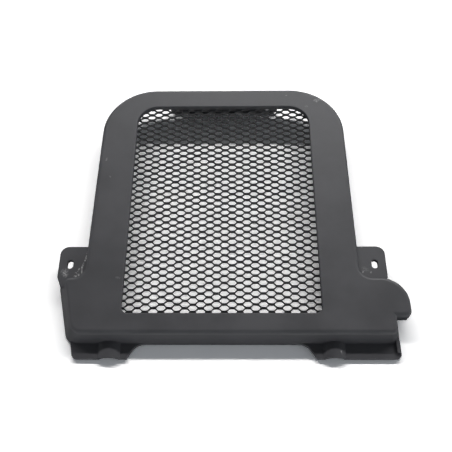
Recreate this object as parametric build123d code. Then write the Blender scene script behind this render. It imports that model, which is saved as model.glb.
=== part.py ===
from build123d import *
import math
import os

# Motorcycle radiator guard, face up. X runs across it to the right from the middle of the window, Y up
# the guard from just above the bottom fold of its face, Z out of the face from the level of its bolt ears.
# All lengths are in millimetres and all angles in degrees.

# Moulded shell
wall = 2.5
face_z = 32.5
edge_round = 3.2
rim_z = 14.0

# Upper part of the shell
top_bar = 19.9
upper_width_top = 210.5
upper_width_foot = 214.0
upper_corner = 46.0
inner_corner = 9.0

# Lower part of the shell, which has leaning walls
fold_y = -1.5
shoulder_y = 44.0
left_edge_top = -121.8
left_edge_foot = -111.0
right_edge = 130.0
left_draft = 21.5
right_draft = 13.0
bottom_draft = 8.6
shoulder_draft = 8.0
shoulder_corner = 5.0
bottom_left_corner = 11.0
bottom_right_corner = 5.0

# Hose shroud at the lower right, open at its lower end
shroud_right = 142.3
shroud_end_y = 12.0
shroud_corner = 21.0
shroud_tip = 5.0
shroud_end_depth = 7.5
shroud_lip = 0.8
shroud_lip_thickness = 1.5

# Window in the face, with a rim behind it
window_width = 151.0
window_height = 197.0
window_bottom = 14.5
window_top_corner = 18.0
window_bottom_corner = 5.0
window_depth = 4.0
window_rim = 2.5
window_round = 0.8

# Side lugs, each with an upright screw slot
lug_reach = 128.7
lug_top = 73.1
lug_corner = 6.8
lug_z = 24.0
lug_thickness = 3.0
lug_root = 6.0
lug_low = 46.5
lug_bevel = 3.5
lug_round = 0.6
lug_slot_inset = 9.0
lug_slot_y = 57.4
lug_slot_width = 4.8
lug_slot_length = 7.0

# Bolt flange at the top, hanging from the top wall
bolt_spacing = 83.0
bolt_hole = 6.5
bolt_z = 8.3
ear_width = 17.0
ear_corner = 7.5
flange_edge_z = 0.8

# Foot flanges with their arched channels, level with the rim
foot_edge_y = -15.8
foot_left_x = -112.0
foot_splay = 3.0
foot_inner_x = 71.4
foot_bevel = 57.0
foot_corner = 4.0
foot_inner_corner = 11.0
foot_landing = 14.0
foot_round = 0.6
skirt_height = 6.0
arch_x = 84.5
arch_width = 17.1
arch_rise = 4.0

# Expanded-metal screen behind the window
mesh_long = 12.0
mesh_short = 6.0
mesh_depth = 2.5
mesh_strand = 0.9
mesh_start_x = 2.0
mesh_start_y = 86.2
mesh_margin = 6.5
mesh_edge = 1.5
mesh_snip = 6.0

# Stakes melted over the edge of the screen
stake = 4.0
stake_head = 7.0
stake_head_height = 1.2
stake_clearance = 0.2
stakes_on_side = 4
stakes_on_end = 3

# Height that follows from the window and the bar above it
upper_top = window_bottom + window_height + top_bar


def slope(angle):
    """Run of a wall that leans by an angle, for one millimetre of its height."""
    return math.tan(math.radians(angle))


def prism(outline, bottom, top):
    """Solid that stands on an outline of the XY plane, from one height to another."""
    return extrude(Plane.XY.offset(bottom) * outline, amount=top - bottom)


def bar(outline, start, end):
    """Solid with an outline given in X and Z, running along Y from start up to end."""
    return extrude(Plane.XZ.offset(-end) * outline, amount=end - start)


def block(x_range, y_range, z_range):
    """Box between two values on each axis."""
    size = [high - low for low, high in (x_range, y_range, z_range)]
    middle = [(high + low) / 2 for low, high in (x_range, y_range, z_range)]
    return Pos(*middle) * Box(*size)


def polygon(*corners):
    """Face with straight sides."""
    return make_face(Polyline(*corners, close=True))


def moved_sides(corners, distances):
    """Corners of a polygon, listed anticlockwise, with each side moved outwards by its own distance."""
    sides = []
    for start, end, distance in zip(corners, corners[1:] + corners[:1], distances):
        along = (Vector(*end) - Vector(*start)).normalized()
        sides.append((Vector(*start) + Vector(along.Y, -along.X) * distance, along))
    moved = []
    for (start, along), (next_start, next_along) in zip(sides[-1:] + sides[:-1], sides):
        gap = next_start - start
        turn = along.X * next_along.Y - along.Y * next_along.X
        reach = (gap.X * next_along.Y - gap.Y * next_along.X) / turn
        moved.append(start + along * reach)
    return moved


def nearest(items, *place):
    """Edge or vertex that lies closest to a place."""
    return items.sort_by_distance(Vector(*place))[0]


def side_x(y):
    """Half the width of the upper part at a height."""
    return (upper_width_foot + (upper_width_top - upper_width_foot) * y / upper_top) / 2


def upper_form(inset):
    """Upper part as a solid, made smaller by an inset. The smaller one reaches through the back."""
    foot = side_x(0)
    top = side_x(upper_top)
    corners = [(-foot, 0), (foot, 0), (top, upper_top), (-top, upper_top)]
    outline = polygon(*moved_sides(corners, [-inset] * len(corners)))
    outline = fillet(outline.vertices().group_by(Axis.Y)[-1], upper_corner - inset)
    return prism(outline, -inset if inset else rim_z, face_z - inset)


def lower_form(inset):
    """Lower part as a solid with leaning walls, made smaller by an inset."""
    inside_x = side_x(shoulder_y) - 2 * edge_round
    inside_y = shroud_end_y + 2 * wall
    corners = [
        (left_edge_foot, fold_y),
        (right_edge, fold_y),
        (right_edge, inside_y),
        (inside_x, inside_y),
        (inside_x, shoulder_y),
        (left_edge_top, shoulder_y),
    ]
    drafts = [bottom_draft, right_draft, 0, 0, shoulder_draft, left_draft]

    def section(z):
        spread = [(face_z - z) * slope(d) - inset / math.cos(math.radians(d)) for d in drafts]
        return Plane.XY.offset(z) * polygon(*moved_sides(corners, spread))

    return loft([section(-inset if inset else rim_z), section(face_z - inset)], ruled=True)


def shroud_form(inset):
    """Hose shroud as a solid, made smaller by an inset everywhere but at its open end."""
    right = shroud_right - inset
    top = shoulder_y - inset
    outline = polygon((0, shroud_end_y), (right, shroud_end_y), (right, top), (0, top))
    outline = fillet(nearest(outline.vertices(), right, top), shroud_corner - inset)
    return prism(outline, -inset if inset else rim_z, face_z - inset)


def form(inset):
    """Whole shell as a solid with rounded edges, made smaller by an inset."""
    whole = upper_form(inset) + lower_form(inset) + shroud_form(inset)
    middle = (rim_z + face_z) / 2
    lean = face_z - middle
    shoulder = shoulder_y - inset
    left_shoulder = shoulder + lean * slope(shoulder_draft)
    side = side_x(shoulder) - inset
    left = lean * slope(left_draft) - inset
    bottom = fold_y + inset - lean * slope(bottom_draft)
    right = right_edge + lean * slope(right_draft) - inset
    corners = [
        (-side, left_shoulder, inner_corner + inset),
        (side, shoulder, inner_corner + inset),
        (left_edge_top - left, left_shoulder, shoulder_corner - inset),
        (left_edge_foot - left, bottom, bottom_left_corner - inset),
        (right, bottom, bottom_right_corner - inset),
    ]
    if not inset:
        corners.append((shroud_right, shroud_end_y, shroud_tip))
    for x, y, radius in corners:
        whole = fillet(nearest(whole.edges(), x, y, middle), radius)
    return fillet(whole.faces().sort_by(Axis.Z)[-1].edges(), edge_round - inset)


def hollow_form():
    """Space inside the shell, short of the turned-down end of the hose shroud."""
    end_wall = block(
        (right_edge, shroud_right),
        (shroud_end_y, shroud_end_y + wall),
        (face_z - shroud_end_depth, face_z),
    )
    return form(wall) - end_wall


def shroud_mouth():
    """Wedge cut from the outer wall of the hose shroud, which grows shallower towards its open end."""
    end_z = face_z - shroud_end_depth
    outline = Polyline((shroud_end_y, rim_z), (shoulder_y, rim_z), (shroud_end_y, end_z), close=True)
    return extrude(Plane.YZ.offset(lug_reach) * make_face(outline), amount=shroud_right - lug_reach)


def shroud_end_lip():
    """Small lip that stands out from the foot of the hose shroud's end wall."""
    left = right_edge + (shroud_end_depth - shroud_lip_thickness) * slope(right_draft) - wall
    outline = polygon(
        (left, shroud_end_y - shroud_lip),
        (shroud_right - edge_round, shroud_end_y - shroud_lip),
        (shroud_right - edge_round, shroud_end_y + wall),
        (left, shroud_end_y + wall),
    )
    outline = fillet(nearest(outline.vertices(), shroud_right, shroud_end_y - shroud_lip), shroud_lip)
    bottom = face_z - shroud_end_depth
    return prism(outline, bottom, bottom + shroud_lip_thickness)


def window_outline(grow):
    """Outline of the window, made larger by a given width all round."""
    half = window_width / 2 + grow
    bottom = window_bottom - grow
    top = window_bottom + window_height + grow
    outline = polygon((-half, bottom), (half, bottom), (half, top), (-half, top))
    outline = fillet(outline.vertices().group_by(Axis.Y)[-1], window_top_corner + grow)
    return fillet(outline.vertices().group_by(Axis.Y)[0], window_bottom_corner + grow)


def window_wall():
    """Rim that runs round the window behind the face."""
    outline = window_outline(window_rim) - window_outline(0)
    return prism(outline, face_z - window_depth, face_z - wall / 2)


def lug(side):
    """Flat lug that stands out from one side wall, with its screw slot. Side is -1 on the left, 1 on the right."""
    root = shoulder_y - lug_root
    inside = min(side_x(root), side_x(lug_top)) - wall
    outline = polygon(
        (side * inside, root),
        (side * (lug_reach - lug_bevel), root),
        (side * lug_reach, lug_low),
        (side * lug_reach, lug_top),
        (side * inside, lug_top),
    )
    outline = fillet(nearest(outline.vertices(), side * lug_reach, lug_top), lug_corner)
    slot = SlotOverall(lug_slot_length, lug_slot_width, rotation=90)
    outline -= Pos(side * (lug_reach - lug_slot_inset), lug_slot_y) * slot
    plate = prism(outline, lug_z, lug_z + lug_thickness)
    return fillet(plate.faces().sort_by(Axis.Z)[-1].edges(), lug_round)


def bolt_flange():
    """Flange below the top wall, with a rounded ear round each bolt hole."""
    reach = bolt_spacing / 2
    root_z = rim_z + edge_round
    outline = polygon((-reach, flange_edge_z), (reach, flange_edge_z), (reach, root_z), (-reach, root_z))
    for x in (-reach, reach):
        ear = Pos(x, root_z / 2) * Rectangle(ear_width, root_z)
        outline += fillet(ear.vertices().group_by(Axis.Y)[0], ear_corner)
        outline -= Pos(x, bolt_z) * Circle(bolt_hole / 2)
    return bar(outline, upper_top - wall, upper_top)


def foot_flange(side):
    """Flange that stands out at the foot of the bottom wall, with its arched channel."""
    wall_y = fold_y - (face_z - rim_z) * slope(bottom_draft)
    back_y = wall_y + wall
    bevel_x = foot_inner_x - (wall_y - foot_edge_y) / slope(foot_bevel)
    right_foot = right_edge + (face_z - rim_z) * slope(right_draft)
    outer_edge = right_foot if side > 0 else -foot_left_x
    outer_back = right_foot if side > 0 else foot_splay - foot_left_x
    outline = polygon(
        (side * outer_edge, foot_edge_y),
        (side * foot_inner_x, foot_edge_y),
        (side * bevel_x, wall_y),
        (side * (bevel_x - foot_landing), wall_y),
        (side * (bevel_x - foot_landing), back_y),
        (side * outer_back, back_y),
    )
    outline = fillet(nearest(outline.vertices(), side * bevel_x, wall_y), foot_inner_corner)
    outline = fillet(nearest(outline.vertices(), side * outer_edge, foot_edge_y), foot_corner)
    plate = prism(outline, rim_z, rim_z + wall)
    plate = fillet(plate.faces().sort_by(Axis.Z)[-1].edges(), foot_round)
    radius = (arch_width ** 2 / 4 + arch_rise ** 2) / (2 * arch_rise)
    centre_z = rim_z + wall + arch_rise - radius
    outer_arc = Pos(side * arch_x, centre_z) * Circle(radius)
    channel = Pos(side * arch_x, centre_z) * Circle(radius - wall)
    over_flange = Pos(side * arch_x, rim_z + radius) * Rectangle(2 * radius, 2 * radius)
    arch = bar((outer_arc & over_flange), foot_edge_y, back_y)
    return plate + arch - bar(channel, foot_edge_y, wall_y)


def right_skirt():
    """Side wall carried on past the bottom wall to the end of the right foot flange."""
    foot = right_edge + (face_z - rim_z) * slope(right_draft)
    top = foot - skirt_height * slope(right_draft)
    top_z = rim_z + skirt_height
    outline = polygon((foot - wall, rim_z), (foot, rim_z), (top, top_z), (top - wall, top_z))
    return bar(outline, foot_edge_y + foot_corner, wall)


def spread(count, length):
    """Places of a number of things, evenly spread over a length about its middle."""
    return [length * ((k + 0.5) / count - 0.5) for k in range(count)]


def stake_places():
    """Places of the stakes round the screen, just clear of its edge."""
    gap = mesh_margin + stake_clearance + stake / 2
    x = window_width / 2 + gap
    y = window_height / 2 + gap
    middle = window_bottom + window_height / 2
    sides = [(side * x, middle + dy) for side in (-1, 1) for dy in spread(stakes_on_side, window_height)]
    ends = [(dx, middle + end * y) for end in (-1, 1) for dx in spread(stakes_on_end, window_width)]
    return sides + ends


def screen_stake(x, y):
    """Stake that stands on the back of the face, with a melted head that laps over the screen."""
    head_top = face_z - window_depth - mesh_depth
    head_bottom = head_top - stake_head_height
    shaft = prism(Pos(x, y) * Circle(stake / 2), head_bottom, face_z - wall / 2)
    head = prism(Pos(x, y) * Circle(stake_head / 2), head_bottom, head_top)
    return shaft + head


def guard_frame():
    """The moulded shell with everything that is moulded on it."""
    outer = form(0)
    hollow = hollow_form()
    shell = outer - hollow - shroud_mouth()
    shell += [lug(side) - hollow for side in (-1, 1)]
    shell += bolt_flange()
    shell += [foot_flange(-1), foot_flange(1), right_skirt(), shroud_end_lip()]
    shell -= prism(window_outline(0), face_z - window_depth, face_z)
    window_edge = shell.faces().sort_by(Axis.Z)[-1].inner_wires()[0].edges()
    shell = fillet(window_edge, window_round)
    shell += window_wall()
    shell += [screen_stake(x, y) for x, y in stake_places()]
    return shell


def even_steps(low, high, pitch):
    """Half pitches that fit between two bounds, from one even number to another."""
    return range(2 * math.ceil(low / pitch + 0.5), 2 * math.floor(high / pitch - 0.5) + 1)


def mesh_cells():
    """Middles of the openings: rows half a mesh apart, every second row shifted by half a mesh."""
    reach = mesh_margin - mesh_edge
    side = window_width / 2 + reach
    bottom = window_bottom - reach
    top = window_bottom + window_height + reach
    columns = even_steps(-side - mesh_start_x, side - mesh_start_x, mesh_long)
    rows = even_steps(bottom - mesh_start_y, top - mesh_start_y, mesh_short)
    return [
        (mesh_start_x + i * mesh_long / 2, mesh_start_y + j * mesh_short / 2)
        for i in columns
        for j in rows
        if (i + j) % 2 == 0
    ]


def diamond(x, y, z, scale):
    """Corners of one diamond of the mesh, anticlockwise from its right end."""
    long = scale * mesh_long / 2
    short = scale * mesh_short / 2
    return [Vector(x + long, y, z), Vector(x, y + short, z), Vector(x - long, y, z), Vector(x, y - short, z)]


def field_border(cells, z):
    """Zigzag line round all the cells, anticlockwise."""
    columns = [x for x, y in cells]
    rows = [y for x, y in cells]
    bottom_row = [cell for cell in cells if cell[1] == min(rows)]
    right_column = [cell for cell in cells if cell[0] == max(columns)]
    top_row = [cell for cell in reversed(cells) if cell[1] == max(rows)]
    left_column = [cell for cell in reversed(cells) if cell[0] == min(columns)]
    points = []
    for line, first in ((bottom_row, 2), (right_column, 3), (top_row, 0), (left_column, 1)):
        for x, y in line:
            corners = diamond(x, y, z, 1)
            points += [corners[first], corners[(first + 1) % 4]]
    return Wire.make_polygon(points)


def mesh_screen():
    """Sheet of expanded metal: strands with a ridge along their front, a flat back and a plain border."""
    front = face_z - window_depth
    back = front - mesh_depth
    width = window_width + 2 * mesh_margin
    height = window_height + 2 * mesh_margin
    outline = Pos(0, window_bottom + window_height / 2) * Rectangle(width, height)
    outline = chamfer(outline.vertices(), mesh_snip)
    sheet = prism(outline, back, front).faces().sort_by(Axis.Z)
    cells = mesh_cells()
    pitch = mesh_long * mesh_short / math.hypot(mesh_long, mesh_short)
    open_share = 1 - mesh_strand / pitch
    strands = []
    openings = []
    for x, y in cells:
        ridge = diamond(x, y, front, 1)
        opening = diamond(x, y, back, open_share)
        openings.append(Wire.make_polygon(opening))
        for k in range(len(ridge)):
            n = (k + 1) % len(ridge)
            strands.append(Face(Wire.make_polygon([ridge[k], ridge[n], opening[n], opening[k]])))
    border = Face(sheet[-1].outer_wire(), [field_border(cells, front)])
    underside = Face(sheet[0].outer_wire(), openings)
    return Solid(Shell(strands + [border, underside] + sheet[1:-1]))


frame = guard_frame()
screen = mesh_screen()
box = frame.bounding_box()
to_origin = Pos(-(box.min.X + box.max.X) / 2, -(box.min.Y + box.max.Y) / 2, 0)
os.makedirs("parts", exist_ok=True)
for name, piece in (("guard_frame", frame), ("mesh_screen", screen)):
    export_step(to_origin * piece, f"parts/{name}.step")
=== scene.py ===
# %% [markdown]
# # A radiator guard with an expanded-metal screen
# The guard is one shallow moulding in black plastic. Its window holds a sheet of expanded metal that keeps
# stones off the radiator. The solid model gives the size and every main form, so this lesson starts from it
# and adds what a solid model leaves out: the twisted strands of the screen, the finish of the moulding with
# its wear, and the light of a small product photograph.

# %% Load the solid model
import math

import bpy
import numpy as np
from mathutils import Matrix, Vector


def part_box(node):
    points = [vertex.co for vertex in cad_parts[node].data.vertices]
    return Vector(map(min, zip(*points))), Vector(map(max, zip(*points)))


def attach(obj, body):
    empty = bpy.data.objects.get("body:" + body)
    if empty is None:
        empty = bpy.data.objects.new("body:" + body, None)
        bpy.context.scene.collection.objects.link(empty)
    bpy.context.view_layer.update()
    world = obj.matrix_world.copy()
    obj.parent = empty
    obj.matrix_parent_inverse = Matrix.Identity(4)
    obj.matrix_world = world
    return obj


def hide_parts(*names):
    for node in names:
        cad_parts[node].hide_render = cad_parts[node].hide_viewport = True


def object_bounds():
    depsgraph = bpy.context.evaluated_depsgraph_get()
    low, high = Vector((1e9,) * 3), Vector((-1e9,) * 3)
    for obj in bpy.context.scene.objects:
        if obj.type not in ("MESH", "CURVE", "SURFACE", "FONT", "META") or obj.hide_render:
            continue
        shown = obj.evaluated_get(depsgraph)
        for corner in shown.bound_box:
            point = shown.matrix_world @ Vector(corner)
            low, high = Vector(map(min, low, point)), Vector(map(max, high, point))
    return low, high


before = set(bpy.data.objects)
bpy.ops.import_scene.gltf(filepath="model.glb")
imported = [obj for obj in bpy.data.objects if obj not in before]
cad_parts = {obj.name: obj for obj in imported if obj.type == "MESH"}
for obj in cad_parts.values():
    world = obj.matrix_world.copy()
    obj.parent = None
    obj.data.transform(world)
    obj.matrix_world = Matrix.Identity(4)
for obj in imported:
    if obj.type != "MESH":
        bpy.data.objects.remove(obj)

MM = 0.001
cad_low, cad_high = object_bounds()
print("solid model, mm:", [round((high - low) / MM, 1) for low, high in zip(cad_low, cad_high)])

# %% [markdown]
# Places on the guard are easiest to give from one datum: the middle of the window across, a line just above
# the bottom fold up the guard, and the lower edge of the bolt ears in depth. The sheet of the screen reaches
# as far to the left of that middle as to the right, and starts a little above that line, so its lower left
# corner finds the datum.

# %% Datum
SHEET_HALF_WIDTH = 82 * MM
SHEET_ABOVE_DATUM = 8 * MM

sheet_low, sheet_high = (np.array(corner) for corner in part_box("mesh_screen"))
datum = np.array([sheet_low[0] + SHEET_HALF_WIDTH, sheet_low[1] - SHEET_ABOVE_DATUM, 0.0])


def from_datum(*place):
    """Turns a place in millimetres from the datum into metres in the shared frame, by adding the datum."""
    return datum + np.array(place) * MM


print("datum, mm:", np.round(datum / MM, 2))

# %% [markdown]
# ## The camera
# The photograph looks down on the guard from the foot end, where the lower edge is nearest. The rows of
# mesh openings shrink evenly towards the top, and that fixes both the height of the camera and its lens.
# A constraint could aim the camera, but a place and three angles are plain values that can be compared.

# %% Place the camera
SENSOR_WIDTH = 36.0
LENS = 51.77
CAMERA_PLACE = (10.34, -168.11, 485.97)
CAMERA_ANGLES = (29.521, 0.757, 0.290)


def add_object(name, data):
    """Makes an object that holds this data and links it into the scene."""
    thing = bpy.data.objects.new(name, data)
    bpy.context.scene.collection.objects.link(thing)
    return thing


camera_data = bpy.data.cameras.new("camera")
camera_data.sensor_width = SENSOR_WIDTH
camera_data.lens = LENS
camera = add_object("camera", camera_data)
camera.location = from_datum(*CAMERA_PLACE)
camera.rotation_euler = [math.radians(angle) for angle in CAMERA_ANGLES]
bpy.context.scene.camera = camera
bpy.context.scene.view_settings.view_transform = "Standard"
print("camera height above the bolt ears, mm:", round(camera.location.z / MM))

# %% [markdown]
# ## Small helpers for node trees
# Every finish below is a tree of nodes. Each node could be added and wired by hand, but that takes several
# lines a node and hides what the tree does. So a few short functions do it: one adds a node and sets its
# options, one joins a value or another node's output to a socket, and the others are the arithmetic, the
# eased ramp and the mix that every tree needs.

# %% Nodes and links
def add_node(tree, kind, **options):
    """Adds a node of this kind to the tree and sets its options by name."""
    node = tree.nodes.new(kind)
    for name, value in options.items():
        setattr(node, name, value)
    return node


def feed(tree, socket, source):
    """Links the socket to another node's output, or sets it where the source is a plain value."""
    if isinstance(source, bpy.types.NodeSocket):
        tree.links.new(source, socket)
    else:
        socket.default_value = source


def feed_in_order(tree, node, sources):
    """Feeds the node's sockets one after the other."""
    for socket, source in zip(node.inputs, sources):
        feed(tree, socket, source)
    return node


print("helpers for nodes:", add_node.__name__, feed.__name__, feed_in_order.__name__)

# %% Arithmetic and ramps
def arithmetic(tree, operation, *sources):
    """Works out one Math operation on numbers and returns its result."""
    node = add_node(tree, "ShaderNodeMath", operation=operation)
    return feed_in_order(tree, node, sources).outputs[0]


def vectors(tree, operation, *sources):
    """Works out one Vector Math operation and returns its node, which has a vector and a number output."""
    node = add_node(tree, "ShaderNodeVectorMath", operation=operation)
    return feed_in_order(tree, node, sources)


def ramp(tree, source, low, high, to_low=0.0, to_high=1.0):
    """Maps low..high to to_low..to_high with eased ends, held outside the range."""
    node = add_node(tree, "ShaderNodeMapRange", interpolation_type="SMOOTHSTEP")
    return feed_in_order(tree, node, (source, low, high, to_low, to_high)).outputs["Result"]


print("helpers for values:", arithmetic.__name__, vectors.__name__, ramp.__name__)

# %% Colours and mixes
MIX_SOCKETS = {"FLOAT": (2, 3, 0), "RGBA": (6, 7, 2)}


def grey(level):
    """Gives an even grey of this level as a colour."""
    return (level, level, level, 1)


def blend(tree, kind, mask, under, over):
    """Mixes two numbers or two colours: under where the mask is 0, over where it is 1.

    The Mix node keeps its own sockets for each kind of data, so the table above gives their numbers.
    """
    under_socket, over_socket, result = MIX_SOCKETS[kind]
    node = add_node(tree, "ShaderNodeMix", data_type=kind)
    feed(tree, node.inputs[0], mask)
    feed(tree, node.inputs[under_socket], under)
    feed(tree, node.inputs[over_socket], over)
    return node.outputs[result]


print("kinds of mix:", ", ".join(MIX_SOCKETS))

# %% [markdown]
# ## Floor
# The guard lies on white paper, on its bolt ears at the top, with its feet just clear of the sheet. The ears
# hang deeper than the feet, so the face tips forward by about three degrees. The face stays level in the
# shared frame, so here the paper leans instead. The photograph shows it slightly overexposed: it burns out
# to white while the shadows on it stay grey. It is therefore a plain matt sheet whose colour is an ordinary
# white for the light that bounces onto the guard, and a stronger white for what the camera and reflections
# see. A Light Path node tells these rays apart. Far from the guard no shadow falls, and there the sheet is
# seen as plain white.

# %% White paper
PAPER = grey(0.86)
PAPER_MIRRORED = grey(1.3)
PAPER_SEEN = grey(1.45)
SHADED_WITHIN, PLAIN_BEYOND = 0.5, 1.2


def ray_masks(tree):
    """Gives masks for rays that the camera sees directly, for reflections, and for either of the two."""
    rays = add_node(tree, "ShaderNodeLightPath")
    seen = arithmetic(tree, "MAXIMUM", rays.outputs["Is Camera Ray"], rays.outputs["Is Transmission Ray"])
    mirrored = rays.outputs["Is Glossy Ray"]
    return seen, mirrored, arithmetic(tree, "MAXIMUM", seen, mirrored)


def white_paper():
    """Builds the paper: matt near the guard, and an even white glow far from it for what is seen."""
    material = bpy.data.materials.new("white_paper")
    material.use_nodes = True
    tree = material.node_tree
    tree.nodes.clear()
    seen, mirrored, visible = ray_masks(tree)
    white = blend(tree, "RGBA", mirrored, PAPER, PAPER_MIRRORED)
    matt = add_node(tree, "ShaderNodeBsdfDiffuse")
    feed(tree, matt.inputs["Color"], blend(tree, "RGBA", seen, white, PAPER_SEEN))
    place = add_node(tree, "ShaderNodeTexCoord").outputs["Object"]
    away = vectors(tree, "LENGTH", place).outputs["Value"]
    far = arithmetic(tree, "MULTIPLY", ramp(tree, away, SHADED_WITHIN, PLAIN_BEYOND), visible)
    plain_white = add_node(tree, "ShaderNodeEmission")
    paper = add_node(tree, "ShaderNodeMixShader")
    feed_in_order(tree, paper, (far, matt.outputs[0], plain_white.outputs[0]))
    feed(tree, add_node(tree, "ShaderNodeOutputMaterial").inputs["Surface"], paper.outputs[0])
    return material


floor_material = white_paper()
print("paper: matt within", SHADED_WITHIN, "m, plain white beyond", PLAIN_BEYOND, "m")

# %% Lay the floor
EARS = (0, 230, 0)
UNDER_FEET = (0, -12, 12)
FLOOR_HALF = 4.0

ears = from_datum(*EARS)
feet = from_datum(*UNDER_FEET)
fall = (ears - feet) / np.linalg.norm(ears - feet)
sides = np.array([(-1, -1), (1, -1), (1, 1), (-1, 1)]) * FLOOR_HALF
corners = ears + sides[:, :1] * np.array([1.0, 0, 0]) + sides[:, 1:] * fall
floor_mesh = bpy.data.meshes.new("floor")
floor_mesh.from_pydata(corners.tolist(), [], [(0, 1, 2, 3)])
floor_mesh.materials.append(floor_material)
floor = add_object("floor", floor_mesh)
print("floor leans by", round(math.degrees(math.asin(-fall[2])), 2), "degrees")

# %% [markdown]
# ## Light
# The shadow behind the top bar has a crisp edge and soft ends, so the main lamp is a long narrow strip
# behind the guard, 56 degrees up. The face also has a sheen that runs from light at the top bar to dark at
# the foot, as from a bright wall behind. A lower, broad box stands for that wall: it only shows in
# reflections, and the strip is kept out of them, or its own glare would run across the face.

# %% Hang the lamps
STRIP_TINT = (1.0, 0.985, 0.975)


def aim_lamp(name, share, azimuth, elevation, distance, width, height):
    """Hangs an area lamp that faces the guard and gives about this share of full light on a level floor.

    Its power is the share times the square of pi times the distance, over the sine of the elevation.
    """
    turn = math.radians(azimuth)
    lift = math.radians(elevation)
    data = bpy.data.lights.new(name, "AREA")
    data.shape = "RECTANGLE"
    data.size = width
    data.size_y = height
    data.energy = share * (math.pi * distance) ** 2 / math.sin(lift)
    lamp = add_object(name, data)
    lamp.location = (distance * math.cos(lift) * math.sin(turn),
                     distance * math.cos(lift) * math.cos(turn),
                     distance * math.sin(lift))
    lamp.rotation_euler = (lift - math.pi / 2, 0, -turn)
    return lamp


strip = aim_lamp("strip_lamp", share=0.88, azimuth=4, elevation=56.0, distance=3.0, width=4.6, height=0.08)
strip.data.color = STRIP_TINT
strip.visible_glossy = False
box = aim_lamp("low_box", share=0.38, azimuth=11, elevation=34, distance=1.5, width=1.5, height=0.7)
box.visible_diffuse = False
print("lamps, W:", round(strip.data.energy, 2), round(box.data.energy, 2))

# %% [markdown]
# The room around the guard fills the shadows. An even world would be simpler, but the fill is stronger from
# the right and from the front, and weaker overhead, so it is a product of three ramps on the direction.
# The shadows in the photograph are faintly blue, so the fill is a touch cooler than the strip. Strip and
# fill together light a level surface at about strength one, so a colour renders as it is written. Near the
# horizon the world is plain white for the camera and for reflections, so that a low view has a white
# background too.

# %% Fill from the world
COOL_ROOM = (0.95, 1.0, 1.06, 1)
LEFT_FILL, RIGHT_FILL = 0.6, 1.4
FRONT_FILL, BACK_FILL = 1.7, 0.45
HORIZON_FILL, OVERHEAD_FILL = 0.50, 0.08
OVERHEAD = 0.9
WHITE_BELOW, ROOM_ABOVE = 0.07, 0.11

world = bpy.data.worlds.new("studio")
bpy.context.scene.world = world
world.use_nodes = True
tree = world.node_tree
tree.nodes.clear()
direction = add_node(tree, "ShaderNodeSeparateXYZ")
feed(tree, direction.inputs[0], add_node(tree, "ShaderNodeTexCoord").outputs["Generated"])
across = ramp(tree, direction.outputs["X"], -1.0, 1.0, LEFT_FILL, RIGHT_FILL)
forward = ramp(tree, direction.outputs["Y"], -1.0, 1.0, FRONT_FILL, BACK_FILL)
upward = ramp(tree, direction.outputs["Z"], 0.0, OVERHEAD, HORIZON_FILL, OVERHEAD_FILL)
fill = arithmetic(tree, "MULTIPLY", arithmetic(tree, "MULTIPLY", across, forward), upward)
visible = ray_masks(tree)[-1]
low = ramp(tree, direction.outputs["Z"], WHITE_BELOW, ROOM_ABOVE, 1.0, 0.0)
horizon = arithmetic(tree, "MULTIPLY", visible, low)
background = add_node(tree, "ShaderNodeBackground")
feed(tree, background.inputs["Color"], blend(tree, "RGBA", horizon, COOL_ROOM, grey(1)))
feed(tree, background.inputs["Strength"], blend(tree, "FLOAT", horizon, fill, 1.0))
feed(tree, add_node(tree, "ShaderNodeOutputWorld").inputs["Surface"], background.outputs[0])
print("world fill from", HORIZON_FILL, "at the horizon to", OVERHEAD_FILL, "overhead")

# %% [markdown]
# ## Effects for the finishes
# Moulding and screen are both black, matt and a little used. Two node groups serve both: a fine skin of
# grain with a slow mottle under it, and a polish on rounded edges where hands and cloths rub. A third one,
# a light line, is for the moulding's rub marks and for one painted highlight down its lower right corner.
# A picture could hold such wear, but groups on Object coordinates need no unwrapping and stay sharp at
# any distance.

# %% Groups and noise
def new_group(name, inputs, outputs):
    """Makes a shader node group with named sockets and returns it with its two end nodes.

    An input given as None is a vector, and one given as a number is a number that starts there.
    """
    group = bpy.data.node_groups.new(name, "ShaderNodeTree")
    for socket_name, value in inputs.items():
        kind = "NodeSocketVector" if value is None else "NodeSocketFloat"
        socket = group.interface.new_socket(socket_name, in_out="INPUT", socket_type=kind)
        if value is not None:
            socket.default_value = value
    for socket_name in outputs:
        group.interface.new_socket(socket_name, in_out="OUTPUT", socket_type="NodeSocketFloat")
    return group, add_node(group, "NodeGroupInput"), add_node(group, "NodeGroupOutput")


def place_group(tree, group, **sources):
    """Places a group in a material's tree and feeds its named sockets."""
    node = add_node(tree, "ShaderNodeGroup", node_tree=group)
    for name, source in sources.items():
        feed(tree, node.inputs[name.capitalize()], source)
    return node


def noise(tree, position, scale, detail=2.0, roughness=0.5):
    """Reads a Noise texture at this position, at this many features a metre, and returns its value."""
    node = add_node(tree, "ShaderNodeTexNoise")
    feed(tree, node.inputs["Vector"], position)
    feed(tree, node.inputs["Scale"], scale)
    feed(tree, node.inputs["Detail"], detail)
    feed(tree, node.inputs["Roughness"], roughness)
    return node.outputs["Fac"]


print("helpers for effects:", new_group.__name__, place_group.__name__, noise.__name__)

# %% Grain and mottle
PLASTIC_GRAIN = 1500.0
PLASTIC_MOTTLE = 28.0
PATCH_FROM, PATCH_FULL = 0.3, 0.7

black_skin, start, end = new_group(
    "black_skin",
    {"Position": None, "Grain": PLASTIC_GRAIN, "Mottle": PLASTIC_MOTTLE},
    ["Height", "Patches"])
position = start.outputs["Position"]
fine = noise(black_skin, position, start.outputs["Grain"], detail=3.0, roughness=0.6)
slow = noise(black_skin, position, start.outputs["Mottle"], detail=4.0, roughness=0.55)
feed(black_skin, end.inputs["Height"], fine)
feed(black_skin, end.inputs["Patches"], ramp(black_skin, slow, PATCH_FROM, PATCH_FULL))
print("group:", black_skin.name)

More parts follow.
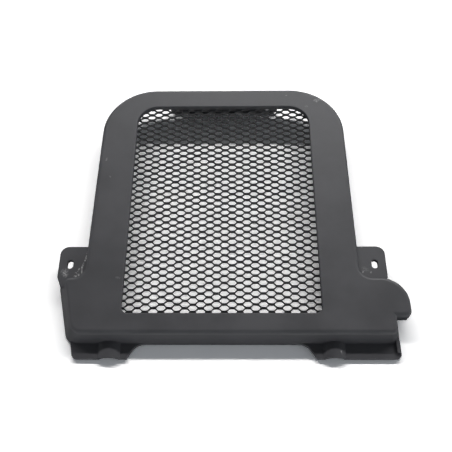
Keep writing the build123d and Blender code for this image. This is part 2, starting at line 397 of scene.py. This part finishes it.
# %% [markdown]
# A rounded edge is where the surface turns from facing up to facing sideways. The upward part of the normal
# therefore finds it without any drawn mask: the polish rises where the surface starts to turn up, falls
# again before it lies level, and a noise makes it uneven.

# %% Polish on rounded edges
TURNS_UP_FROM, TURNED_UP = 0.25, 0.6
NEARLY_LEVEL, LEVEL = 0.8, 0.98
POLISH_SPOTS = 90.0
SPOT_FROM, SPOT_FULL = 0.42, 0.68

edge_polish, start, end = new_group("edge_polish", {"Position": None, "Normal": None}, ["Mask"])
facing = add_node(edge_polish, "ShaderNodeSeparateXYZ")
feed(edge_polish, facing.inputs[0], start.outputs["Normal"])
rising = ramp(edge_polish, facing.outputs["Z"], TURNS_UP_FROM, TURNED_UP)
falling = ramp(edge_polish, facing.outputs["Z"], NEARLY_LEVEL, LEVEL, 1.0, 0.0)
spots = noise(edge_polish, start.outputs["Position"], POLISH_SPOTS, detail=4.0)
uneven = ramp(edge_polish, spots, SPOT_FROM, SPOT_FULL)
rounded = arithmetic(edge_polish, "MULTIPLY", rising, falling)
feed(edge_polish, end.inputs["Mask"], arithmetic(edge_polish, "MULTIPLY", rounded, uneven))
print("group:", edge_polish.name)

# %% [markdown]
# A rub mark is a light line that is broken where the grain kept the surface clean. The same line also paints
# one highlight. The group measures how far a point is from the line between two ends: it takes the share of
# the way along at which the point lies, holds that share between none and all, and compares the point with
# the place it gives.

# %% Rub marks and a painted highlight
RUB_CORE, RUB_RIM = 0.2, 1.0
RUB_SPECKS = 900.0
SPECK_FROM, SPECK_FULL = 0.35, 0.62

rub_and_highlight_line, start, end = new_group(
    "rub_and_highlight_line",
    {"Position": None, "Starts": None, "Ends": None, "Width": 1 * MM, "Strength": 1.0},
    ["Mask"])
position = start.outputs["Position"]
along = vectors(rub_and_highlight_line, "SUBTRACT", start.outputs["Ends"], start.outputs["Starts"]).outputs[0]
reach = vectors(rub_and_highlight_line, "SUBTRACT", position, start.outputs["Starts"]).outputs[0]
length = vectors(rub_and_highlight_line, "DOT_PRODUCT", along, along).outputs["Value"]
progress = vectors(rub_and_highlight_line, "DOT_PRODUCT", reach, along).outputs["Value"]
held = add_node(rub_and_highlight_line, "ShaderNodeClamp")
feed(rub_and_highlight_line, held.inputs["Value"], arithmetic(rub_and_highlight_line, "DIVIDE", progress, length))
step = vectors(rub_and_highlight_line, "SCALE", along)
feed(rub_and_highlight_line, step.inputs["Scale"], held.outputs[0])
away = vectors(rub_and_highlight_line, "DISTANCE", reach, step.outputs[0]).outputs["Value"]
near = arithmetic(rub_and_highlight_line, "DIVIDE", away, start.outputs["Width"])
broken = ramp(rub_and_highlight_line, noise(rub_and_highlight_line, position, RUB_SPECKS, detail=3.0), SPECK_FROM, SPECK_FULL)
core = arithmetic(rub_and_highlight_line, "MULTIPLY", ramp(rub_and_highlight_line, near, RUB_CORE, RUB_RIM, 1.0, 0.0), broken)
feed(rub_and_highlight_line, end.inputs["Mask"], arithmetic(rub_and_highlight_line, "MULTIPLY", core, start.outputs["Strength"]))
print("group:", rub_and_highlight_line.name)

# %% [markdown]
# Both finishes begin alike, with Object coordinates, the skin, the polish, a base that changes from dark to
# light, and a small bump. One function for each step keeps the two materials short, and each material still
# has its own shader.

# %% Steps that both finishes share
GRAIN_HEIGHT = 0.2 * MM


def start_finish(name, grain, mottle):
    """Starts a finish and returns its material, its Object coordinates, its skin and its polish mask."""
    material = bpy.data.materials.new(name)
    material.use_nodes = True
    tree = material.node_tree
    place = add_node(tree, "ShaderNodeTexCoord").outputs["Object"]
    normal = add_node(tree, "ShaderNodeNewGeometry").outputs["Normal"]
    skin = place_group(tree, black_skin, position=place, grain=grain, mottle=mottle)
    polish = place_group(tree, edge_polish, position=place, normal=normal).outputs["Mask"]
    return material, place, skin, polish


def mottled_colour(tree, skin, polish, dark, light, polished, share):
    """Mixes dark to light by the skin's patches, then towards polished by a share of the polish."""
    base = blend(tree, "RGBA", skin.outputs["Patches"], dark, light)
    return blend(tree, "RGBA", arithmetic(tree, "MULTIPLY", polish, share), base, polished)


def raise_grain(tree, skin, strength):
    """Turns the height of the skin into small bumps on the shader's normal."""
    bump = add_node(tree, "ShaderNodeBump")
    feed(tree, bump.inputs["Height"], skin.outputs["Height"])
    feed(tree, bump.inputs["Strength"], strength)
    feed(tree, bump.inputs["Distance"], GRAIN_HEIGHT)
    feed(tree, tree.nodes["Principled BSDF"].inputs["Normal"], bump.outputs[0])


print("grain up to, mm:", GRAIN_HEIGHT / MM)

# %% [markdown]
# ## The moulding's finish
# The frame is satin black plastic with a fine grain. Its solid already has the right shape, so it keeps
# its mesh and only its material changes. The rub marks sit where the photograph shows them: on the lugs
# around the screw slots, at the top right corner, along the left edge, and on the arch that a bracket
# touches. One more light line, down the lower right corner, is a painted highlight on that rounded edge.
# Each row below is one mark: its two ends in millimetres from the datum, its width in millimetres
# and its strength. The third number of an end is the level of the surface there.

# %% Places of the rub marks and of a painted highlight
FACE = cad_high[2] / MM
CORNER = FACE - 0.5
EDGE = FACE - 1.0
LUG = 27.0
LUG_WALL = 20.0
FRONT_WALL = 25.0
ARCH = 20.0

LEFT_LUG_RUBS = [
    ((-106.5, 71.0, LUG), (-107.5, 63.5, LUG), 0.9, 0.7),
    ((-107.5, 63.5, LUG), (-110.0, 54.5, LUG), 0.9, 0.9),
    ((-107.5, 64.0, LUG), (-107.5, 62.5, LUG), 1.3, 0.9),
    ((-110.0, 54.5, LUG), (-109.5, 47.0, LUG), 0.8, 0.6),
    ((-114.5, 50.0, LUG), (-109.0, 47.0, LUG), 0.9, 0.8),
    ((-115.0, 47.0, LUG), (-112.0, 47.5, LUG), 1.0, 0.9),
    ((-124.0, 51.0, LUG), (-122.5, 48.5, LUG), 3.0, 0.6),
    ((-122.0, 53.0, LUG), (-121.0, 52.0, LUG), 1.6, 0.5),
    ((-121.5, 47.0, LUG), (-126.5, 41.0, LUG_WALL), 1.0, 0.6),
    ((-113.0, 51.5, LUG), (-112.0, 53.5, LUG), 0.8, 0.6),
]
RIGHT_LUG_RUBS = [
    ((110.5, 72.5, LUG), (111.0, 72.5, LUG), 1.0, 0.7),
    ((109.5, 50.0, LUG), (110.5, 52.0, LUG), 0.9, 0.5),
    ((116.0, 50.0, LUG), (116.0, 50.5, LUG), 1.0, 0.7),
    ((110.5, 53.5, LUG), (113.5, 52.5, LUG), 2.6, 0.14),
]
FACE_RUBS = [
    ((58.0, 228.0, EDGE), (58.5, 228.0, EDGE), 1.1, 0.8),
    ((56.5, 224.0, FACE), (57.0, 224.0, FACE), 0.9, 0.4),
    ((83.5, 217.0, FACE), (86.0, 219.5, CORNER), 1.6, 0.55),
    ((81.5, 218.0, FACE), (84.5, 220.0, FACE), 1.2, 0.4),
    ((73.5, 211.5, FACE), (75.0, 211.5, FACE), 1.2, 0.2),
    ((-99.5, 153.5, FACE), (-99.0, 155.5, FACE), 0.9, 0.5),
    ((-95.0, 137.5, FACE), (-94.0, 136.0, FACE), 0.8, 0.25),
    ((-103.5, 118.0, EDGE), (-103.5, 119.0, EDGE), 1.1, 0.8),
    ((-81.0, 43.5, FACE), (-78.5, 43.0, FACE), 1.4, 0.15),
]
FOOT_RUBS_AND_HIGHLIGHT = [
    # First row: a painted highlight down the rounded lower right corner, not a rub.
    ((128.5, -1.5, FACE), (129.0, -5.0, FRONT_WALL), 0.8, 0.5),
    ((89.0, -11.0, ARCH), (90.0, -14.0, ARCH), 1.0, 1.0),
    ((38.0, -5.0, FRONT_WALL), (39.0, -5.0, FRONT_WALL), 1.2, 0.7),
]
RUBS_AND_HIGHLIGHT = LEFT_LUG_RUBS + RIGHT_LUG_RUBS + FACE_RUBS + FOOT_RUBS_AND_HIGHLIGHT
print("rub marks:", len(RUBS_AND_HIGHLIGHT))

# %% [markdown]
# Polished edges are a little lighter and smoother than the rest, and rubbed places and the painted corner
# highlight lighter and rougher. The grain breaks up glare at flat angles. A bump alone can't show that at
# this size, so the roughness itself rises there, by a Layer Weight node.

# %% Colours and roughness of the plastic
PLASTIC_DARK = (0.054, 0.054, 0.058, 1)
PLASTIC_LIGHT = (0.068, 0.068, 0.073, 1)
PLASTIC_POLISHED = (0.095, 0.095, 0.101, 1)
# This light grey colours the rub marks and also the painted highlight down the lower right corner.
PLASTIC_RUB_AND_HIGHLIGHT = grey(0.42)
PLASTIC_POLISH = 0.18
PLASTIC_SMOOTH, PLASTIC_ROUGH = 0.44, 0.52
POLISH_SMOOTHS = 0.06
RUB_ROUGHENS = 0.2
FLAT_FROM, FLAT_FULL = 0.32, 0.65
FLAT_ROUGHENS = 0.45
PLASTIC_BUMP = 0.2
print("roughness of the plastic:", PLASTIC_SMOOTH, "to", PLASTIC_ROUGH)

# %% Moulded black plastic
def rub_and_highlight_mask(tree, place):
    """Places every rub mark and the painted corner highlight, and returns the strongest line at each point.
    """
    rub_and_highlight = 0.0
    for starts, ends, width, strength in RUBS_AND_HIGHLIGHT:
        mark = place_group(tree, rub_and_highlight_line, position=place, starts=from_datum(*starts),
                           ends=from_datum(*ends), width=width * MM, strength=strength)
        rub_and_highlight = arithmetic(tree, "MAXIMUM", rub_and_highlight, mark.outputs["Mask"])
    return rub_and_highlight


def moulded_black():
    """Builds the satin plastic: dark base, mottled roughness, grain, polished edges, rub marks and a painted
    corner highlight.
    """
    material, place, skin, polish = start_finish("moulded_black", PLASTIC_GRAIN, PLASTIC_MOTTLE)
    tree = material.node_tree
    shader = tree.nodes["Principled BSDF"]
    # The light lines are the rub marks plus one painted highlight down the lower right corner.
    rub_and_highlight = rub_and_highlight_mask(tree, place)
    base = mottled_colour(tree, skin, polish, PLASTIC_DARK, PLASTIC_LIGHT, PLASTIC_POLISHED, PLASTIC_POLISH)
    feed(tree, shader.inputs["Base Color"], blend(tree, "RGBA", rub_and_highlight, base, PLASTIC_RUB_AND_HIGHLIGHT))
    rough = ramp(tree, skin.outputs["Patches"], 0.0, 1.0, PLASTIC_SMOOTH, PLASTIC_ROUGH)
    rough = arithmetic(tree, "SUBTRACT", rough, arithmetic(tree, "MULTIPLY", polish, POLISH_SMOOTHS))
    flat_angle = add_node(tree, "ShaderNodeLayerWeight").outputs["Facing"]
    rough = arithmetic(tree, "ADD", rough, ramp(tree, flat_angle, FLAT_FROM, FLAT_FULL, 0.0, FLAT_ROUGHENS))
    rough = arithmetic(tree, "ADD", rough, arithmetic(tree, "MULTIPLY", rub_and_highlight, RUB_ROUGHENS))
    feed(tree, shader.inputs["Roughness"], rough)
    raise_grain(tree, skin, PLASTIC_BUMP)
    return material


plastic = moulded_black()
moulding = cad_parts["guard_frame"]
moulding.material_slots[0].material = plastic
print("nodes in the plastic:", len(plastic.node_tree.nodes))

# %% [markdown]
# ## The screen
# Expanded metal starts as one flat sheet. A press slits it in staggered rows and pulls it open, so each
# strand twists: its lower edge sinks and its upper edge lifts. Openings are hexagons that point left and
# right, with a short bond between one row and the next. An array of one modelled cell would leave seams,
# so all the cells are worked out at once: each opening is a set of rings around its centre, and the
# outermost ring lies on the middle lines of the strands, where the cells meet and are welded.

# %% Places of the openings
LONG = 12 * MM
SHORT = 6 * MM
MIDDLE_OPENING = (2.0, 86.2, 0)
FIRST_COLUMN, LAST_COLUMN = -13, 12
FIRST_ROW, LAST_ROW = -24, 42

middle_opening = from_datum(*MIDDLE_OPENING)[:2]
columns, rows = np.meshgrid(np.arange(FIRST_COLUMN, LAST_COLUMN + 1), np.arange(FIRST_ROW, LAST_ROW + 1),
                            indexing="ij")
staggered = (columns + rows) % 2 == 0
steps = np.stack([columns[staggered] * LONG / 2, rows[staggered] * SHORT / 2], axis=1)
centres = middle_opening + steps
print("openings:", len(centres))

# %% [markdown]
# A strand is only about a millimetre wide, so its rounded edge needs few points: twelve around each opening
# are enough. The opening is a little larger at the front edge than at the back one, and its corners there
# are drawn in more, as the coat fills them.

# %% Rings around one opening
def hexagon_ring(tip, flat, rise, corner=1.0):
    """Twelve points anticlockwise on a hexagon that points left and right, from its right tip.

    The corners are (tip, 0), (flat, rise) and their mirror images, each pulled towards the middle by
    the corner factor, and a point lies halfway along every side.
    """
    corners = np.array([(tip, 0), (flat, rise), (-flat, rise), (-tip, 0), (-flat, -rise), (flat, -rise)])
    halves = (corners + np.roll(corners, -1, axis=0)) / 2
    return np.stack([corners * corner, halves], axis=1).reshape(-1, 2)


BOND = 2.0 * MM
TIP = LONG / 2 - BOND
TO_EDGE = 0.55

strand_line = hexagon_ring(TIP, BOND, SHORT / 2)
front_edge = hexagon_ring(tip=3.85 * MM, flat=1.80 * MM, rise=2.36 * MM, corner=0.96)
back_edge = hexagon_ring(tip=3.80 * MM, flat=1.75 * MM, rise=2.34 * MM, corner=0.98)
front_half = (1 - TO_EDGE) * strand_line + TO_EDGE * front_edge
print("points in a ring:", len(strand_line))

# %% [markdown]
# The strands stand at an angle, so the sheet is deeper than its metal is thick. What the metal leaves of the
# sheet's depth is therefore the twist, half of it to each side, and no angle has to be guessed.

# %% Twist of the strands
METAL = 1.1 * MM
EDGE_DROP = 0.2 * MM
TWIST_REACH = 1.6 * MM

middle = (sheet_low[2] + sheet_high[2]) / 2
twist = (sheet_high[2] - sheet_low[2] - METAL) / 2


def twisted(ring, depth, share):
    """Gives a ring its height: the sheet's middle plus the depth in the metal, less a share of the twist.

    The twist counts fully above the opening, the other way below it, and changes over evenly between.
    """
    side = np.clip(ring[:, 1] / TWIST_REACH, -1, 1)
    return np.column_stack([ring, middle + depth - share * twist * side])


profile = np.stack([
    twisted(strand_line, METAL / 2, share=0.0),
    twisted(front_half, METAL / 2, share=0.5),
    twisted(front_edge, METAL / 2 - EDGE_DROP, share=0.95),
    twisted(back_edge, -METAL / 2, share=1.0),
    twisted(strand_line, -METAL / 2, share=0.0),
])
print("rings in an opening:", len(profile), "metal, mm:", METAL / MM)

# %% [markdown]
# A press never makes two openings quite alike. A small seeded change in each opening keeps the screen from
# looking printed. It leaves the outermost rings alone, because neighbours share them and have to meet.

# %% All openings at once
SEED = 11
SIZE_SPREAD = 0.012
SHIFT_SPREAD = 0.03 * MM


def ring_quads(numbers):
    """Joins each ring of point numbers to the next one with four-sided faces, closed all the way round."""
    following = np.roll(numbers, -1, axis=-1)
    sides = [numbers[..., :-1, :], following[..., :-1, :], following[..., 1:, :], numbers[..., 1:, :]]
    return np.stack(sides, axis=-1).reshape(-1, 4)


chance = np.random.default_rng(SEED)
own_size = 1 + SIZE_SPREAD * chance.standard_normal((len(centres), 1, 1, 1))
own_shift = SHIFT_SPREAD * chance.standard_normal((len(centres), 1, 1, 2))
inner = np.array([0, 1, 1, 1, 0])[None, :, None, None]
flat_places = profile[None, :, :, :2] * np.where(inner, own_size, 1) + inner * own_shift
flat_places = flat_places + centres[:, None, None, :]
heights = np.broadcast_to(profile[None, :, :, 2:], flat_places.shape[:-1] + (1,))
cells = np.concatenate([flat_places, heights], axis=-1)
cell_numbers = np.arange(cells[..., 0].size).reshape(cells.shape[:-1])
cell_quads = ring_quads(cell_numbers)
print("faces in the openings:", len(cell_quads))

# %% [markdown]
# Around the openings the sheet keeps a plain margin, where it lies behind the edge of the window. The line
# where openings end is a zigzag. It is written as one short pattern for each side and repeated along it,
# anticlockwise from the lower left. The top is the foot turned half round. The left side has one column of
# openings more than the right, set half a mesh higher, so it has its own pattern.

# %% Patterns of the line where the openings end
half_x, half_y = (TIP + BOND) / 2, SHORT / 4
foot_pattern = np.array([
    (-TIP, 0), (-half_x, -half_y), (-BOND, -SHORT / 2), (0, -SHORT / 2),
    (BOND, -SHORT / 2), (half_x, -half_y), (TIP, 0), (LONG / 2, 0)])
right_pattern = np.array([(TIP, 0), (half_x, half_y), (BOND, SHORT / 2), (half_x, 3 * half_y)])
left_pattern = np.array([(-BOND, SHORT / 2), (-half_x, half_y), (-TIP, 0), (-half_x, -half_y)])
print("points in a pattern: foot", len(foot_pattern), "right", len(right_pattern), "left", len(left_pattern))

# %% Line where the openings end
foot_count = (LAST_COLUMN - FIRST_COLUMN + 1) // 2
side_count = (LAST_ROW - FIRST_ROW + 1) // 2
foot_start = centres[columns[staggered] == FIRST_COLUMN + 1].min(axis=0)
top_end = centres.max(axis=0)
foot_cells = np.arange(foot_count)[:, None, None] * np.array([LONG, 0])
side_cells = np.arange(side_count)[:, None, None] * np.array([0, SHORT])
foot_line = (foot_start + foot_pattern + foot_cells).reshape(-1, 2)[:-2]
right_line = ((top_end[0], foot_start[1]) + right_pattern + side_cells).reshape(-1, 2)
top_line = foot_start + top_end - foot_line
left_top = np.array([foot_start[0] - LONG / 2, top_end[1] - SHORT / 2])
left_foot = left_top - side_cells[-1, 0] - np.array([BOND, SHORT / 2])
left_line = np.concatenate([
    [left_top + np.array([BOND, SHORT / 2]), left_top + np.array([0, SHORT / 2])],
    (left_top + left_pattern - side_cells).reshape(-1, 2),
    [left_foot, left_foot + np.array([BOND, 0])]])
lines = [foot_line, right_line, top_line, left_line]
zigzag = np.concatenate(lines)
print("points on the zigzag:", len(zigzag))

# %% [markdown]
# The outer edge of the margin needs a point for every point of the zigzag, so that one ring of faces joins
# them. Each side's points are spread along that side as the zigzag's are, short of the corners, and the step
# from one side to the next cuts the corner off, as on the solid. These rings run through the metal the other
# way from those of an opening, so their faces are turned round.

# %% Margin of the sheet
SNIP = 6 * MM


def at_height(line, height):
    """Gives every point of a flat line the same height."""
    return np.column_stack([line, np.full(len(line), height)])


share = (zigzag - zigzag.min(axis=0)) / (zigzag.max(axis=0) - zigzag.min(axis=0))
outline = sheet_low[:2] + SNIP + share * (sheet_high[:2] - sheet_low[:2] - 2 * SNIP)
line_of_point = np.repeat(np.arange(len(lines)), [len(line) for line in lines])
foot, right, top, left = (line_of_point == number for number in range(len(lines)))
outline[foot, 1] = sheet_low[1]
outline[right, 0] = sheet_high[0]
outline[top, 1] = sheet_high[1]
outline[left, 0] = sheet_low[0]
margin = np.stack([
    at_height(zigzag, middle + METAL / 2),
    at_height(outline, sheet_high[2]),
    at_height(outline, sheet_low[2]),
    at_height(zigzag, middle - METAL / 2),
])
margin_numbers = cell_numbers.size + np.arange(margin[..., 0].size).reshape(margin.shape[:-1])
margin_quads = np.roll(ring_quads(margin_numbers)[:, ::-1], 1, axis=1)
print("faces in the margin:", len(margin_quads))

# %% [markdown]
# Cells and margin still hold each shared point several times. Blender can merge points by distance, but here
# they are known to fall on the same places, so rounding to a micrometre and keeping one of each welds them
# into a single closed sheet.

# %% Weld the sheet
MICROMETRE = 1e-6


def weld(points, quads):
    """Keeps one of each place to a micrometre and renumbers the faces."""
    keys, inverse = np.unique(np.round(points / MICROMETRE).astype(np.int64), axis=0, return_inverse=True)
    welded = np.zeros((len(keys), 3))
    welded[inverse.ravel()] = points
    return welded, inverse.ravel()[quads]


points, quads = weld(np.concatenate([cells.reshape(-1, 3), margin.reshape(-1, 3)]),
                     np.concatenate([cell_quads, margin_quads]))
print("screen: points", len(points), "faces", len(quads))

# %% [markdown]
# A real sheet is never quite straight, so a slow wave runs through the welded points. The volume of the
# piece, summed over its faces, is above zero only if the faces point outwards, and printing it tests that.

# %% Wave and volume
WAVE = 0.10 * MM
SWAY_BY_X, SWAY_BY_Y = 0.05, 0.11
RISE_BY_X, RISE_BY_Y, RISE_START = 0.09, 0.07, 1.0


def sheet_wave(points):
    """Shifts flat places by two slow waves: x by the sine of a sum of x and y, y by that of a difference."""
    x, y = points[..., 0] / MM, points[..., 1] / MM
    shift = np.zeros_like(points)
    shift[..., 0] = WAVE * np.sin(SWAY_BY_Y * y + SWAY_BY_X * x)
    shift[..., 1] = WAVE * np.sin(RISE_BY_X * x - RISE_BY_Y * y + RISE_START)
    return points + shift


def volume(points, quads):
    """Sums the signed volumes of the pyramids from the origin to both halves of each four-sided face."""
    a, b, c, d = (points[quads[:, k]] for k in range(4))
    first_halves = np.einsum("ij,ij->i", a, np.cross(b, c))
    second_halves = np.einsum("ij,ij->i", a, np.cross(c, d))
    return (first_halves + second_halves).sum() / 6


points[:, :2] = sheet_wave(points[:, :2])
print("volume, mm3:", round(volume(points, quads) / MM ** 3))

# %% [markdown]
# ## The screen's finish
# The sheet is coated black. The coat is thinner on the crests, where it is a little lighter, and smoother
# than the plastic, so the strands catch small glints. It uses the same groups as the plastic with a coarser
# grain, which reads as the faint orange peel of a sprayed coat.

# %% Coated mesh
MESH_GRAIN = 900.0
MESH_MOTTLE = 60.0
MESH_DARK = (0.038, 0.038, 0.039, 1)
MESH_LIGHT = (0.050, 0.050, 0.051, 1)
MESH_POLISHED = grey(0.09)
MESH_POLISH = 0.3
MESH_SMOOTH, MESH_ROUGH = 0.38, 0.5
MESH_BUMP = 0.15


def coated_mesh():
    """Builds the coat: near black, lighter on edges, with a faint orange peel."""
    material, _, skin, polish = start_finish("coated_mesh", MESH_GRAIN, MESH_MOTTLE)
    tree = material.node_tree
    shader = tree.nodes["Principled BSDF"]
    base = mottled_colour(tree, skin, polish, MESH_DARK, MESH_LIGHT, MESH_POLISHED, MESH_POLISH)
    feed(tree, shader.inputs["Base Color"], base)
    rough = ramp(tree, skin.outputs["Patches"], 0.0, 1.0, MESH_SMOOTH, MESH_ROUGH)
    feed(tree, shader.inputs["Roughness"], rough)
    raise_grain(tree, skin, MESH_BUMP)
    return material


coat = coated_mesh()
print("nodes in the coat:", len(coat.node_tree.nodes))

# %% [markdown]
# The welded points and faces become one mesh. Smooth shading rounds the strands, and edges that turn more
# sharply than the crease angle stay crisp, as the slit edges of the metal are. The piece takes the place of
# the solid screen and belongs to the same body.

# %% Hang the screen in the window
CREASE_ANGLE = 55


def new_piece(name, points, quads, material):
    """Puts points and four-sided faces into a mesh object with smooth faces."""
    mesh = bpy.data.meshes.new(name)
    mesh.from_pydata(points, [], quads)
    mesh.polygons.foreach_set("use_smooth", np.ones(len(mesh.polygons), dtype=bool))
    mesh.materials.append(material)
    return add_object(name, mesh)


screen = new_piece("expanded_screen", points, quads, coat)
screen.data.set_sharp_from_angle(angle=math.radians(CREASE_ANGLE))
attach(screen, "root")
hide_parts("mesh_screen")
print("triangles:", 2 * len(quads))
